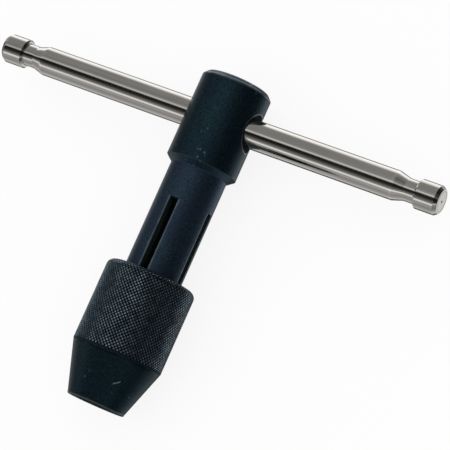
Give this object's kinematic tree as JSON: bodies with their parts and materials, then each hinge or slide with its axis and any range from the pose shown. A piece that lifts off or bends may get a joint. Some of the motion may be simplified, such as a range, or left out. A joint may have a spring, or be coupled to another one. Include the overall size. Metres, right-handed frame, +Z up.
{
  "type": "tap wrench",
  "caption": "T-handle tap wrench: round steel body with slotted spring jaws, a knurled chuck nut that closes them and a sliding plated bar.",
  "frame": {"origin": "on the tap axis in the plane of the jaw tips, where the tap enters", "axes": "+X along the sliding bar, +Y up the tap axis from the jaws to the head, +Z up with the wrench lying flat"},
  "size_m": [0.1324, 0.0924, 0.0246],
  "materials": {
    "black_steel": "satin black oxide on turned steel",
    "black_knurl": "satin black oxide, diamond knurl on the grip band",
    "plated_bar": "bright nickel plate with faint lengthwise draw marks",
    "ground_steel": "hardened and ground",
    "spring_steel": "drawn spring wire",
    "black_screw": "black oxide"
  },
  "bodies": {
    "body": {"wrench_body": "black_steel", "detent_screw": "black_screw", "detent_spring": "spring_steel"},
    "jaw_1": {"jaw_1": "black_steel"},
    "jaw_2": {"jaw_2": "black_steel"},
    "jaw_3": {"jaw_3": "black_steel"},
    "jaw_4": {"jaw_4": "black_steel"},
    "ring": {"taper_ring": "ground_steel"},
    "nut": {"chuck_nut": "black_knurl"},
    "bar": {"tommy_bar": "plated_bar"},
    "ball": {"detent_ball": "ground_steel"}
  },
  "joints": [
    {"name": "bar_slide", "type": "slide", "parent": "body", "child": "bar", "axis": [1, 0, 0], "range_m": [-0.0564, 0.0596]},
    {"name": "nut_travel", "type": "slide", "parent": "body", "child": "ring", "axis": [0, 1, 0], "range_m": [0, 0.004]},
    {"name": "nut_turn", "type": "hinge", "parent": "ring", "child": "nut", "pos_m": [0, 0, 0], "axis": [0, 1, 0], "range_deg": [0, 960.5]},
    {"name": "jaw_1_flex", "type": "hinge", "parent": "body", "child": "jaw_1", "pos_m": [0.00311, 0.0562, 0.00311], "axis": [0.7071, 0, -0.7071], "range_deg": [0, 1.45]},
    {"name": "jaw_2_flex", "type": "hinge", "parent": "body", "child": "jaw_2", "pos_m": [-0.00311, 0.0562, 0.00311], "axis": [0.7071, 0, 0.7071], "range_deg": [0, 1.45]},
    {"name": "jaw_3_flex", "type": "hinge", "parent": "body", "child": "jaw_3", "pos_m": [-0.00311, 0.0562, -0.00311], "axis": [-0.7071, 0, 0.7071], "range_deg": [0, 1.45]},
    {"name": "jaw_4_flex", "type": "hinge", "parent": "body", "child": "jaw_4", "pos_m": [0.00311, 0.0562, -0.00311], "axis": [-0.7071, 0, -0.7071], "range_deg": [0, 1.45]},
    {"name": "detent_lift", "type": "slide", "parent": "body", "child": "ball", "axis": [0, 1, 0], "range_m": [0, 0.0003], "stiffness_N_per_m": 1500, "springref_m": -0.001, "deforming": ["detent_spring"]}
  ],
  "couplings": [
    {"joint": "nut_turn", "follows": "nut_travel", "rad_per_m": 4188.8},
    {"joint": "jaw_1_flex", "follows": "nut_travel", "rad_per_m": 6.3},
    {"joint": "jaw_2_flex", "follows": "nut_travel", "rad_per_m": 6.3},
    {"joint": "jaw_3_flex", "follows": "nut_travel", "rad_per_m": 6.3},
    {"joint": "jaw_4_flex", "follows": "nut_travel", "rad_per_m": 6.3}
  ]
}
